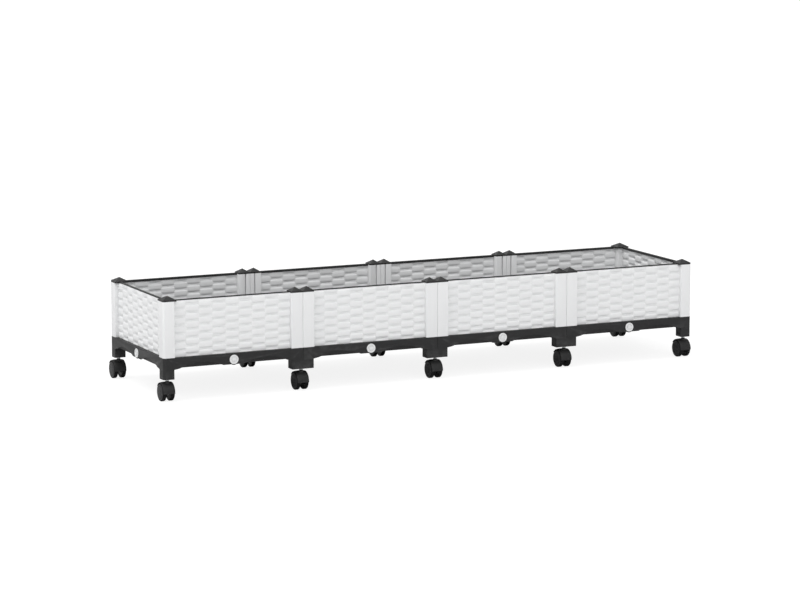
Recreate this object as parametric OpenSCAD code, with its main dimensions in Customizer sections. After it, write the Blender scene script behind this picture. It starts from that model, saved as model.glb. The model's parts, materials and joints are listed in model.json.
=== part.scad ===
// Rolling planter: four square tray modules in a row inside one white woven wall.
// Double feet and double caps tie the modules, and ten twin-wheel casters carry them.
// Millimetres, +Z up, +X along the row, the front at -Y. The origin is on the floor,
// under the middle of the box around the whole planter, casters included.

/* [Row] */
// Distance from one module to the next along the row
module_pitch = 400; // [340:5:460]
// Depth of a module, over the tray's front and back faces
module_depth = 400; // [340:5:460]
// Seam between neighbouring trays
seam = 0.4; // [0.2:0.1:1.5]

/* [Tray] */
// Height of the tray's skirt, from its lower edge to the rim
skirt_h = 29.5; // [26:0.5:34]
// Height by which the leg stubs stand out below the skirt
leg_h = 3.5; // [2:0.5:12]
// Thickness of the skirt
skirt_t = 3; // [2:0.5:4]
// Thickness of the rim, the leg walls and the basin
tray_t = 2.5; // [2:0.5:4]
// Width of the rim ledge that the wall stands on
ledge_w = 20; // [20:1:22]
// Gap between the skirt and the basin behind it
basin_inset = 8; // [6:1:12]
// Height of the basin's floor above the skirt's lower edge
basin_lift = 0.8; // [0.4:0.1:3]
// Width across a leg stub and a foot
foot_w = 31; // [26:1:36]
// Radius of the upright corners at the ends of the row
corner_r = 7; // [4:1:10]
// Radius of the upright corners at a seam
seam_r = 1.5; // [1.5:0.5:4]
// Height of the lip that holds the wall from inside
lip_h = 6; // [4:1:12]
// Rise of the shallow arches in the skirt
arch_rise = 13; // [5:0.5:16]
// Span of the shallow arches in the skirt
arch_span = 124; // [80:1:126]
// Distance from the middle of a side to the middle of an arch
arch_x = 92; // [85:1:105]

/* [Drain] */
// Diameter of the drain plug's disc
plug_d = 25; // [20:0.5:28]
// Thickness of the drain plug's disc
plug_t = 3; // [2.5:0.5:5]
// Diameter of the drain hole
drain_d = 10; // [8:0.5:12]
// Diameter of the boss around a drain hole
boss_d = 30; // [28:1:34]
// Height of a plug's middle above the skirt's lower edge
plug_rise = 13; // [11:0.5:15]
// Depth by which the disc sinks into the boss
plug_sink = 1.2; // [0.5:0.1:2]
// Pitch of the holes in the drain floor
hole_pitch = 36; // [28:1:36]
// Diameter of the holes in the drain floor
hole_d = 5; // [3:0.5:6]
// Thickness of the drain floor
floor_t = 3; // [2:0.5:4]

/* [Wall] */
// Height of the posts and panels
wall_h = 150; // [120:0.5:200]
// Width of a corner post
post_w = 33; // [30:1:38]
// Wall thickness of a corner post
post_t = 2.5; // [2:0.5:3]
// Set-back of the posts from the tray's faces
post_inset = 0.2; // [0.1:0.1:3]
// Set-back of the panels from the posts' faces
panel_recess = 12; // [10:0.5:12]
// Thickness of a panel between its strands
panel_t = 3; // [2.5:0.5:4]
// Depth by which a panel's edge enters its post
tongue = 9; // [6:1:10]
// Height from one woven strand to the next
strand_pitch = 11.1; // [8:0.1:14]
// Height of the slot between two strands that pass in front
strand_slot = 4.2; // [2:0.1:8]
// Width of one woven column
column_pitch = 37.9; // [25:0.1:50]
// Rise of a strand over the panel's face
strand_rise = 2.2; // [1:0.1:2.6]

/* [Caps and edge strips] */
// Thickness of a cap's rim
cap_rim = 4; // [2:0.5:5]
// Height of a cap's low pyramid
cap_peak = 10; // [3:0.5:12]
// Overhang of a cap over its post
cap_over = 0; // [0:0.5:1.5]
// Reach of a corner cap past its post, over the ends of the wall
cap_lap = 6; // [0:1:10]
// Depth of the cross-shaped keys on caps and trays
key_h = 14; // [8:1:20]
// Thickness of the edge strips
strip_t = 3; // [2:0.5:4]
// Height of an edge strip's inner leg
strip_leg = 3; // [2:0.5:14]

/* [Feet] */
// Height of a foot
foot_h = 24.5; // [22:0.5:32]
// Height of the spigot that enters the leg stub
spigot_h = 14; // [8:1:18]
// Wall thickness of a foot
foot_t = 2.5; // [2:0.5:4]

/* [Casters] */
// Diameter of a wheel
wheel_d = 48; // [44:1:54]
// Width of one wheel
wheel_w = 12; // [9:0.5:13]
// Gap between the two wheels
wheel_gap = 12.5; // [10:0.5:14]
// Distance that the axle trails the stem
trail = 9.5; // [3:0.5:11]
// Diameter of the axle
axle_d = 6; // [5:0.5:7]
// Diameter of the stem
stem_d = 7; // [6:0.5:7]
// Visible length of the stem between hood and foot
stem_neck = 8.5; // [6:0.5:14]
// Gap between the wheels and the hood
hood_gap = 1.2; // [0.8:0.1:2]
// Thickness of the hood
hood_t = 2.3; // [1.5:0.1:3]
// Length of the sleeve in the foot
sleeve_l = 22; // [14:1:22]

/* [Hidden] */
$fn = 48;
modules = 4;

// Clearances
fit = 0.3;
run_fit = 0.05;
key_fit = 0.2;
over = 1;

// Heights above the floor
wheel_r = wheel_d / 2;
hood_ri = wheel_r + hood_gap;
hood_r = hood_ri + hood_t;
hood_top = wheel_r + hood_r;
foot_z = hood_top + stem_neck;
leg_z = foot_z + foot_h;
skirt_z = leg_z + leg_h;
rim_z = skirt_z + skirt_h;
wall_top = rim_z + wall_h;
basin_z = skirt_z + basin_lift;
basin_top = basin_z + tray_t;
plug_z = skirt_z + plug_rise;

// Plan
tray_w = module_pitch - seam;
row_l = modules * module_pitch - seam;
stem_inset = foot_w / 2;
front_over = hood_r - trail - stem_inset;
back_over = wheel_r + trail - stem_inset;
mid_y = (front_over - back_over) / 2;
front_y = mid_y - module_depth / 2;
back_y = mid_y + module_depth / 2;
minor_r = 1.5;

// Tray
slope_run = 4 * leg_h;
slope_step = 0.7 * leg_h;
pad_t = 3.5;

// Drain plug
plug_rim = 4;
groove_w = 2;
groove_t = 1.5;
dish_t = 0.3;
shank_end = 3;

// Wall, measured inwards from the tray's face
pad_w = post_inset + post_w + post_inset;
panel_y = post_inset + panel_recess;
panel_back = panel_y + panel_t + strand_rise;
strands = ceil(wall_h / strand_pitch) + 1;
top_strand = 5.2;
strand_h = 2 * strand_pitch - strand_slot;
strand_r = (pow(strand_h / 2, 2) + pow(strand_rise, 2)) / (2 * strand_rise);
channel_t = 1.6;
rib_t = 2;

// Caps and strips
cap_w = post_w + 2 * cap_over;
cap_step = 1;
strip_back = 1;
strip_y = panel_y + strip_back;
strip_wall = 1.8;

// Feet and casters
boss_wall = 3;
spigot_at = tray_t + key_fit;
spigot_w = foot_w - 2 * spigot_at;
sleeve_t = 2;
sleeve_rim = 1.2;
sleeve_over = 2;
sleeve_r = stem_d / 2 + run_fit + sleeve_t;
collar_t = 1.6;
collar_over = 2;
seat_h = 5;
seat_wall = 3;
seat_tip = 1.2;
neck_show = 4.5;
seat_rise = stem_neck - neck_show;
web_play = 1.2;
web_w = wheel_gap - 2 * web_play;
pair_w = wheel_gap + 2 * wheel_w;
wheel_show = 1.5;
hood_w = pair_w - 2 * wheel_show;
hub_wall = 3.5;
hub_r = axle_d / 2 + hub_wall;
dome = 1.8;
dome_r = (pow(wheel_r, 2) + pow(dome, 2)) / (2 * dome);
tread_r = 2;
face_r = wheel_r - tread_r - dome;
axle_end = 2;

// Hood and web, as angles from +Y over the top
hood_back = 35;
hood_front = 184;
web_back = 42;
web_front = 181;

// Drain floor
support_pitch = 120;
support_d = 18;
support_t = 2;
holes_a_side = 9;
floor_fit = 1;

white = "#e4e5e6";
black = "#313132";
pale = "#d9dadb";
steel = "#9a9b9d";

SIDES = ["front", "back"];

// Places

function module_x(k) = (k - (modules + 1) / 2) * module_pitch;

function stem_x(k) =
    k == 1 ? -row_l / 2 + stem_inset :
    k == modules + 1 ? row_l / 2 - stem_inset :
    (k - 1 - modules / 2) * module_pitch;

function stem_y(side) = side == "front" ? front_y + stem_inset : back_y - stem_inset;

// The middle of module k, at floor level
module in_module(k) {
    translate([module_x(k), mid_y, 0]) children();
}

// Radius of the corners of tray k on its left (sx = 0) or its right (sx = 1)
function corner_at(k, sx) = (sx == 0 ? k == 1 : k == modules) ? corner_r : seam_r;

// The four corners of tray k, each with its corner at the origin and its sides along +X and +Y.
// $corner is the corner's radius.
module at_corners(k) {
    for (sx = [0, 1], sy = [0, 1]) {
        $corner = corner_at(k, sx);
        mirror([sx, 0, 0]) mirror([0, sy, 0]) translate([-tray_w / 2, -module_depth / 2, 0]) children();
    }
}

// The middle of one side of a tray, with -Y outwards
module at_side(side) {
    if (side == "front") translate([0, -module_depth / 2, 0]) children();
    if (side == "back") rotate(180) translate([0, -module_depth / 2, 0]) children();
    if (side == "left") rotate(-90) translate([0, -tray_w / 2, 0]) children();
    if (side == "right") rotate(90) translate([0, -tray_w / 2, 0]) children();
}

function side_l(side) = side == "front" || side == "back" ? tray_w : module_depth;

// The sides of module k that face outwards
function outer_sides(k) = concat(SIDES, k == 1 ? ["left"] : [], k == modules ? ["right"] : []);

// The floor under the stem of caster k
module at_stem(side, k) {
    translate([stem_x(k), stem_y(side), 0]) children();
}

// Shapes that repeat

// What a rounded corner at the origin loses
module corner_cut(r) {
    difference() {
        translate([-over, -over]) square(r + over);
        translate([r, r]) circle(r);
    }
}

// A rectangle from the origin, with the radii of its corners in turn from there
module rounded_rect(w, d, radii) {
    difference() {
        square([w, d]);
        corner_cut(radii[0]);
        translate([w, 0]) mirror([1, 0]) corner_cut(radii[1]);
        translate([w, d]) rotate(180) corner_cut(radii[2]);
        translate([0, d]) mirror([0, 1]) corner_cut(radii[3]);
    }
}

// The same, with the corner at the origin rounded by r and the others by s
module corner_rect(w, d, r, s) {
    rounded_rect(w, d, [r, s, s, s]);
}

// The outline of tray k seen from above, taken in by t
module tray_outline(k, t) {
    left = max(corner_at(k, 0) - t, minor_r);
    right = max(corner_at(k, 1) - t, minor_r);
    translate([t - tray_w / 2, t - module_depth / 2])
        rounded_rect(tray_w - 2 * t, module_depth - 2 * t, [left, right, right, left]);
}

// The cross-shaped key that centres a post, from the tray's corner. Its arms end at the panels' channels.
module post_key(h) {
    outer = post_w / 2 - post_t - key_fit;
    inner = post_w / 2 - tongue - fit - channel_t - key_fit;
    translate([post_inset + post_w / 2, post_inset + post_w / 2, 0]) {
        translate([-outer, -rib_t / 2, 0]) cube([outer + inner, rib_t, h]);
        translate([-rib_t / 2, -outer, 0]) cube([rib_t, outer + inner, h]);
    }
}

// A profile drawn as [across, up], drawn out along X about its middle
module along_x(length) {
    translate([-length / 2, 0, 0]) rotate([90, 0, 90]) linear_extrude(length) children();
}

// A fan of directions from the origin, between two angles less than half a turn apart
module fan(a0, a1) {
    reach = 2 * hood_r;
    rays = [for (i = [0:4]) a0 + (a1 - a0) * i / 4];
    polygon(concat([[0, 0]], [for (a = rays) [reach * cos(a), reach * sin(a)]]));
}

// Trays

module leg_block() {
    translate([0, 0, leg_z]) linear_extrude(rim_z - leg_z) corner_rect(foot_w, foot_w, $corner, minor_r);
    translate([0, 0, rim_z - pad_t]) linear_extrude(pad_t) corner_rect(pad_w, pad_w, $corner, minor_r);
    translate([0, 0, rim_z]) post_key(key_h);
}

module leg_hollow() {
    inner = foot_w - 2 * tray_t;
    translate([tray_t, tray_t, leg_z - over])
        linear_extrude(rim_z - leg_z - 2 * tray_t + over)
            corner_rect(inner, inner, max($corner - tray_t, minor_r), minor_r);
}

// The slope between a leg stub and the skirt's lower edge, on both sides of a corner
module leg_slope() {
    for (m = [0, 1])
        mirror([m, -m, 0]) translate([foot_w, skirt_t, skirt_z]) rotate([90, 0, 0])
            linear_extrude(skirt_t) polygon([[-over, 0], [-over, -leg_h], [0, -slope_step], [slope_run, 0]]);
}

module skirt_arch(x) {
    r = (pow(arch_span / 2, 2) + pow(arch_rise, 2)) / (2 * arch_rise);
    translate([x, skirt_t + over, skirt_z + arch_rise - r]) rotate([90, 0, 0])
        cylinder(r = r, h = skirt_t + 2 * over, $fn = 180);
}

module plug_boss() {
    depth = basin_inset + tray_t;
    intersection() {
        translate([0, depth, plug_z]) rotate([90, 0, 0]) cylinder(d = boss_d, h = depth);
        translate([-boss_d / 2, 0, plug_z - boss_d / 2]) cube([boss_d, depth, rim_z - plug_z + boss_d / 2]);
    }
    translate([-boss_d / 2, 0, plug_z]) cube([boss_d, depth, rim_z - plug_z]);
}

module plug_hole() {
    depth = basin_inset + tray_t + over;
    translate([0, depth, plug_z]) rotate([90, 0, 0]) cylinder(d = drain_d, h = depth + over);
    translate([0, plug_sink, plug_z]) rotate([90, 0, 0])
        cylinder(d = plug_d + 2 * key_fit, h = plug_sink + over);
}

module wall_lip(side) {
    length = side_l(side) - 2 * pad_w;
    translate([-length / 2, panel_back + fit, rim_z - over]) cube([length, rib_t, lip_h + over]);
}

module tray_shell(k) {
    // Rim, skirt and basin walls
    translate([0, 0, rim_z - tray_t]) linear_extrude(tray_t) difference() {
        tray_outline(k, 0);
        tray_outline(k, ledge_w);
    }
    translate([0, 0, skirt_z]) linear_extrude(skirt_h) difference() {
        tray_outline(k, 0);
        tray_outline(k, skirt_t);
    }
    translate([0, 0, basin_z]) linear_extrude(rim_z - basin_z) difference() {
        tray_outline(k, basin_inset);
        tray_outline(k, basin_inset + tray_t);
    }
    // Basin floor
    translate([0, 0, basin_z]) linear_extrude(tray_t) tray_outline(k, basin_inset);
}

module base_tray(k) {
    color(black) in_module(k) difference() {
        union() {
            tray_shell(k);
            at_corners(k) leg_block();
            at_corners(k) leg_slope();
            for (side = outer_sides(k)) at_side(side) {
                plug_boss();
                wall_lip(side);
            }
        }
        at_corners(k) leg_hollow();
        for (side = ["front", "back", "left", "right"], m = [-1, 1]) at_side(side) skirt_arch(m * arch_x);
        for (side = outer_sides(k)) at_side(side) plug_hole();
    }
}

module drain_floor() {
    w = tray_w - 2 * ledge_w - 2 * floor_fit;
    d = module_depth - 2 * ledge_w - 2 * floor_fit;
    notch = pad_w - ledge_w + floor_fit;
    span = (holes_a_side - 1) / 2;
    difference() {
        union() {
            difference() {
                translate([-w / 2, -d / 2, rim_z - floor_t]) cube([w, d, floor_t]);
                for (sx = [-1, 1], sy = [-1, 1]) translate([sx * w / 2, sy * d / 2, rim_z])
                    cube([2 * notch, 2 * notch, 4 * floor_t], center = true);
            }
            for (i = [-1:1], j = [-1:1]) translate([i * support_pitch, j * support_pitch, basin_top])
                cylinder(d = support_d, h = rim_z - floor_t / 2 - basin_top);
        }
        for (i = [-1:1], j = [-1:1]) translate([i * support_pitch, j * support_pitch, basin_top - over])
            cylinder(d = support_d - 2 * support_t, h = rim_z - floor_t - basin_top + over);
        for (i = [-span:span], j = [-span:span])
            translate([i * hole_pitch, j * hole_pitch, rim_z - floor_t - over])
                cylinder(d = hole_d, h = floor_t + 2 * over);
    }
}

module drain_floors() {
    color(black) for (k = [1:modules]) in_module(k) drain_floor();
}

// The plug of a drain hole, from the middle of its side
module drain_plug(k, side) {
    shank = basin_inset + tray_t + shank_end;
    grip_r = plug_d / 2 - plug_rim;
    color(pale) in_module(k) at_side(side) translate([0, 0, plug_z]) rotate([90, 0, 0]) difference() {
        union() {
            translate([0, 0, -plug_sink + run_fit]) cylinder(d = plug_d, h = plug_t);
            translate([0, 0, -shank]) cylinder(d = drain_d - 2 * run_fit, h = shank);
        }
        translate([0, 0, plug_t - plug_sink + run_fit - groove_t]) difference() {
            cylinder(r = grip_r, h = groove_t + over);
            translate([0, 0, -over]) cylinder(r = grip_r - groove_w, h = over + groove_t - dish_t);
        }
    }
}

// Wall

// The slot for a panel's edge and the channel around it, on the post's +X side
module channel() {
    translate([post_w - tongue - fit - channel_t, panel_recess - fit - channel_t])
        square([tongue + fit + channel_t, panel_t + 2 * fit + 2 * channel_t]);
}

module slot() {
    translate([post_w - tongue - fit, panel_recess - fit]) square([tongue + fit + over, panel_t + 2 * fit]);
}

module post() {
    inner = post_w - 2 * post_t;
    translate([post_inset, post_inset, rim_z]) linear_extrude(wall_h) difference() {
        corner_rect(post_w, post_w, $corner, minor_r);
        difference() {
            translate([post_t, post_t])
                corner_rect(inner, inner, max($corner - post_t, minor_r / 2), minor_r / 2);
            channel();
            mirror([1, -1]) channel();
        }
        slot();
        mirror([1, -1]) slot();
    }
}

module corner_posts() {
    color(white) for (k = [1:modules]) in_module(k) at_corners(k) post();
}

// One strand's crown, seen along the panel, on the face at y = 0 with -Y outwards
module crown(z) {
    intersection() {
        translate([strand_r - strand_rise, z]) circle(strand_r, $fn = 96);
        translate([-strand_rise, 0]) square([strand_rise + panel_t / 2, wall_h]);
    }
}

// The section of one woven column: its strands pass in front and behind in turn, the first in front
// in the odd columns
module column_section(i) {
    square([panel_t, wall_h]);
    for (j = [0:strands - 1]) {
        z = wall_h - top_strand + strand_pitch * (0.5 - j);
        if ((j + i) % 2 == 1) crown(z);
        else translate([panel_t, 0]) mirror([1, 0]) crown(z);
    }
}

// A panel from the middle of its side
module wall_panel(side) {
    visible = side_l(side) - 2 * (post_inset + post_w) - 2 * fit;
    columns = floor(visible / column_pitch / 2) + 1;
    translate([0, panel_y, rim_z]) {
        along_x(side_l(side) - 2 * (post_inset + post_w - tongue)) square([panel_t, wall_h]);
        for (i = [-columns:columns]) {
            x0 = max((i - 0.5) * column_pitch, -visible / 2);
            x1 = min((i + 0.5) * column_pitch, visible / 2);
            if (x1 > x0 + over) translate([(x0 + x1) / 2, 0, 0])
                along_x(x1 - x0) column_section(abs(i));
        }
    }
}

module panel(k, side) {
    color(white) in_module(k) at_side(side) wall_panel(side);
}

// How far the cap at a side's -X end (e = -1) or +X end (e = 1) reaches past its post
function lap(k, side, e) =
    let (row_end = side == "back" ? -e : e)
    side == "left" || side == "right" || k == (row_end < 0 ? 1 : modules) ? cap_lap : 0;

module edge_strip(k, side) {
    w = panel_back + fit + strip_wall - strip_y;
    start = lap(k, side, -1);
    end = lap(k, side, 1);
    length = side_l(side) - 2 * (post_inset + post_w + cap_over + fit) - start - end;
    translate([(start - end) / 2, strip_y, wall_top]) along_x(length) {
        square([w, strip_t]);
        translate([w - strip_wall, -strip_leg]) square([strip_wall, strip_leg + strip_t]);
    }
}

module edge_strips() {
    color(black) for (k = [1:modules], side = outer_sides(k)) in_module(k) at_side(side) edge_strip(k, side);
}

// Caps

// A low pyramid on a square base from the origin
module pyramid(w, h) {
    profile = [[0, 0], [w, 0], [w / 2, h]];
    intersection() {
        translate([0, w, 0]) rotate([90, 0, 0]) linear_extrude(w) polygon(profile);
        rotate([90, 0, 90]) linear_extrude(w) polygon(profile);
    }
}

// The top of a cap of width w, and the key that enters the post, from the tray's corner
module cap_top(w) {
    at = post_inset - cap_over + cap_step;
    translate([at, at, cap_rim]) pyramid(w - 2 * cap_step, cap_peak);
    translate([0, 0, -key_h]) post_key(key_h + over);
}

module corner_cap() {
    at = post_inset - cap_over;
    w = cap_w + cap_lap;
    translate([at, at, 0]) linear_extrude(cap_rim) corner_rect(w, w, corner_r, minor_r);
    cap_top(w);
}

// The double cap over the two posts at a seam, which is at x = 0
module seam_cap() {
    at = post_inset - cap_over;
    reach = seam / 2 + at + cap_w;
    translate([-reach, at, 0]) linear_extrude(cap_rim) corner_rect(2 * reach, cap_w, minor_r, minor_r);
    for (m = [0, 1]) mirror([m, 0, 0]) translate([seam / 2, 0, 0]) cap_top(cap_w);
}

// The four ends of the row, each as a corner with its sides along +X and +Y
module at_row_ends() {
    for (sx = [0, 1], sy = [0, 1])
        translate([0, mid_y, 0]) mirror([sx, 0, 0]) mirror([0, sy, 0])
            translate([-row_l / 2, -module_depth / 2, 0]) children();
}

// The seams between modules at the front and back, each with its face at y = 0
module at_seams() {
    for (k = [2:modules], sy = [0, 1])
        translate([stem_x(k), mid_y, 0]) mirror([0, sy, 0]) translate([0, -module_depth / 2, 0]) children();
}

module post_caps() {
    color(black) translate([0, 0, wall_top]) {
        at_row_ends() corner_cap();
        at_seams() seam_cap();
    }
}

// Feet

// The hollow spigot that enters a leg stub, from the leg's corner with its radius
module spigot(r) {
    translate([0, 0, leg_z - foot_t]) linear_extrude(spigot_h + foot_t) difference() {
        translate([spigot_at, spigot_at])
            corner_rect(spigot_w, spigot_w, max(r - spigot_at, minor_r), minor_r);
        spigot_bore();
    }
}

module spigot_bore() {
    translate([spigot_at + foot_t, spigot_at + foot_t]) square(spigot_w - 2 * foot_t);
}

module sleeve_boss(x) {
    translate([x, stem_inset, foot_z]) cylinder(r = sleeve_r + run_fit + boss_wall, h = foot_h);
}

module sleeve_hole(x) {
    translate([x, stem_inset, foot_z - over]) cylinder(r = sleeve_r + run_fit, h = sleeve_l + over + run_fit);
}

module corner_foot() {
    inner = foot_w - 2 * foot_t;
    difference() {
        union() {
            translate([0, 0, foot_z]) linear_extrude(foot_t) corner_rect(foot_w, foot_w, corner_r, minor_r);
            translate([0, 0, foot_z]) linear_extrude(foot_h) difference() {
                corner_rect(foot_w, foot_w, corner_r, minor_r);
                translate([foot_t, foot_t]) corner_rect(inner, inner, corner_r - foot_t, minor_r / 2);
            }
            sleeve_boss(stem_inset);
            // The shelf that the leg stub stands on
            translate([0, 0, leg_z - foot_t]) linear_extrude(foot_t) difference() {
                corner_rect(foot_w, foot_w, corner_r, minor_r);
                spigot_bore();
            }
            spigot(corner_r);
        }
        sleeve_hole(stem_inset);
    }
}

// The double foot under the two legs at a seam, which is at x = 0
module seam_foot() {
    w = 2 * foot_w + seam;
    difference() {
        union() {
            translate([-w / 2, 0, foot_z]) linear_extrude(foot_t) corner_rect(w, foot_w, minor_r, minor_r);
            translate([-w / 2, 0, foot_z]) linear_extrude(foot_h) difference() {
                corner_rect(w, foot_w, minor_r, minor_r);
                translate([foot_t, foot_t])
                    corner_rect(w - 2 * foot_t, foot_w - 2 * foot_t, minor_r / 2, minor_r / 2);
            }
            translate([0, 0, leg_z - foot_t]) linear_extrude(foot_t) difference() {
                translate([-w / 2, 0]) corner_rect(w, foot_w, minor_r, minor_r);
                for (m = [0, 1]) mirror([m, 0]) translate([seam / 2, 0]) spigot_bore();
            }
            sleeve_boss(0);
            for (m = [0, 1]) mirror([m, 0, 0]) translate([seam / 2, 0, 0]) spigot(seam_r);
        }
        sleeve_hole(0);
    }
}

module caster_feet() {
    color(black) {
        at_row_ends() corner_foot();
        at_seams() seam_foot();
    }
}

// Casters

module caster_sleeve() {
    difference() {
        union() {
            translate([0, 0, foot_z]) cylinder(r = sleeve_r, h = sleeve_l);
            translate([0, 0, foot_z - sleeve_rim]) cylinder(r = sleeve_r + sleeve_over, h = sleeve_rim);
        }
        translate([0, 0, foot_z - sleeve_rim - over])
            cylinder(d = stem_d + 2 * run_fit, h = sleeve_l + sleeve_rim + over - sleeve_t);
    }
}

module caster_sleeves() {
    color(black) for (side = SIDES, k = [1:modules + 1]) at_stem(side, k) caster_sleeve();
}

// Hood, central web, and the boss that holds the stem
module caster_hood() {
    difference() {
        union() {
            along_x(hood_w) translate([trail, wheel_r]) intersection() {
                difference() {
                    circle(hood_r);
                    circle(hood_ri);
                }
                fan(hood_back, hood_front);
            }
            along_x(web_w) translate([trail, wheel_r]) {
                circle(hub_r);
                intersection() {
                    circle(hood_ri + hood_t / 2);
                    fan(web_back, web_front);
                }
            }
            difference() {
                translate([0, 0, wheel_r]) cylinder(d = stem_d + 2 * seat_wall, h = hood_top - wheel_r);
                along_x(pair_w) translate([trail, wheel_r]) circle(hood_ri + hood_t / 2);
            }
            translate([0, 0, hood_top])
                cylinder(d1 = stem_d + 2 * seat_wall, d2 = stem_d + 2 * seat_tip, h = seat_rise);
        }
        translate([-pair_w / 2, trail, wheel_r]) rotate([0, 90, 0])
            cylinder(d = axle_d + 2 * run_fit, h = pair_w);
        translate([0, 0, hood_top - seat_h])
            cylinder(d = stem_d + 2 * run_fit, h = seat_h + seat_rise + over);
    }
}

module stem() {
    bottom = hood_top - seat_h + run_fit;
    top = foot_z + sleeve_l - sleeve_t - fit;
    translate([0, 0, bottom]) cylinder(d = stem_d, h = top - bottom);
    translate([0, 0, foot_z - sleeve_rim - fit - collar_t])
        cylinder(d = stem_d + 2 * collar_over, h = collar_t);
}

module axle() {
    length = pair_w - 2 * axle_end;
    translate([-length / 2, trail, wheel_r]) rotate([0, 90, 0]) cylinder(d = axle_d, h = length);
}

module caster_frame(side, k) {
    at_stem(side, k) {
        color(black) caster_hood();
        color(steel) stem();
        color(steel) axle();
    }
}

// One wheel's section as [radius, distance outwards], with a domed outer face and a short hub
module wheel_section() {
    bore_r = axle_d / 2 + run_fit;
    hub = (wheel_gap - web_w) / 2 - fit;
    blind = wheel_w - axle_end + fit;
    difference() {
        union() {
            intersection() {
                square([wheel_r, wheel_w]);
                translate([0, wheel_w - dome_r]) circle(dome_r, $fn = 720);
                union() {
                    square([face_r, wheel_w]);
                    translate([wheel_r, 0]) mirror([1, 0])
                        corner_rect(2 * wheel_r, wheel_w - dome / 2, tread_r, tread_r);
                }
            }
            translate([0, -hub]) square([hub_r, 2 * hub]);
        }
        translate([-over, -hub - over]) square([bore_r + over, hub + over + blind]);
    }
}

module caster_wheel(side, k, outwards) {
    color(black) at_stem(side, k) translate([outwards * wheel_gap / 2, trail, wheel_r])
        rotate([0, outwards * 90, 0]) rotate_extrude() wheel_section();
}

for (k = [1:modules]) {
    base_tray(k);
    for (side = SIDES) {
        panel(k, side);
        drain_plug(k, side);
    }
}
for (side = SIDES, k = [1:modules + 1]) {
    caster_frame(side, k);
    caster_wheel(side, k, -1);
    caster_wheel(side, k, 1);
}
drain_floors();
corner_posts();
panel(1, "left");  // left_end_panel
panel(modules, "right");  // right_end_panel
edge_strips();
post_caps();
caster_feet();
caster_sleeves();
drain_plug(1, "left");  // drain_plug_left
drain_plug(modules, "right");  // drain_plug_right
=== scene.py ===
"""The rolling planter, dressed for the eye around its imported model. All lengths are in metres.

Four modules stand in a row inside one white woven wall, on black trays, double feet and ten twin-wheel
casters. Each piece is a plain mesh at the origin that rides on the body that carries it. The woven
panels and the drain floors grow from Geometry Nodes trees, turned pieces from lathed profiles, and the
trays, posts, caps, strips and feet are copies of the solids with softened edges.
"""

import json
import logging
import math
from dataclasses import dataclass
from enum import Enum
from typing import Sequence

import bmesh
import bpy
from mathutils import Matrix, Vector


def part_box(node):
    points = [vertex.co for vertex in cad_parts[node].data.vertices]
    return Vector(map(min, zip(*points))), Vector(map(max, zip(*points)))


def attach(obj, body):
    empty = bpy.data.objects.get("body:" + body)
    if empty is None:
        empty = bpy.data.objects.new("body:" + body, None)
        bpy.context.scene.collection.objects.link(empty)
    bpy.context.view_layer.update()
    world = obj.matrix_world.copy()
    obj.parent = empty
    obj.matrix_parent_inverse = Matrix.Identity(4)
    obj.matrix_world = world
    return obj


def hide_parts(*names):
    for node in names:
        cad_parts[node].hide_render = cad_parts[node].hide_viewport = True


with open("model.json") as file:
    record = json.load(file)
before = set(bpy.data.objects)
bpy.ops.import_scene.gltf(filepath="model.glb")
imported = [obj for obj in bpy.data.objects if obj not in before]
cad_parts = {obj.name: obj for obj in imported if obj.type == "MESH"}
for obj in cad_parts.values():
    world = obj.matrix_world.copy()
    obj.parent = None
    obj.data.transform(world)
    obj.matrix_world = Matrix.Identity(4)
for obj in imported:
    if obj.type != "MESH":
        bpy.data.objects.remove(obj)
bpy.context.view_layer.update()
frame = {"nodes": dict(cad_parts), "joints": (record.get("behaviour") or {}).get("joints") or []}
MM = 0.001
MODULES = range(1, 5)
STEMS = range(1, 6)
LOG = logging.getLogger("planter")

Number = float | int
Point = tuple[float, float]


# Node trees


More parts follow.
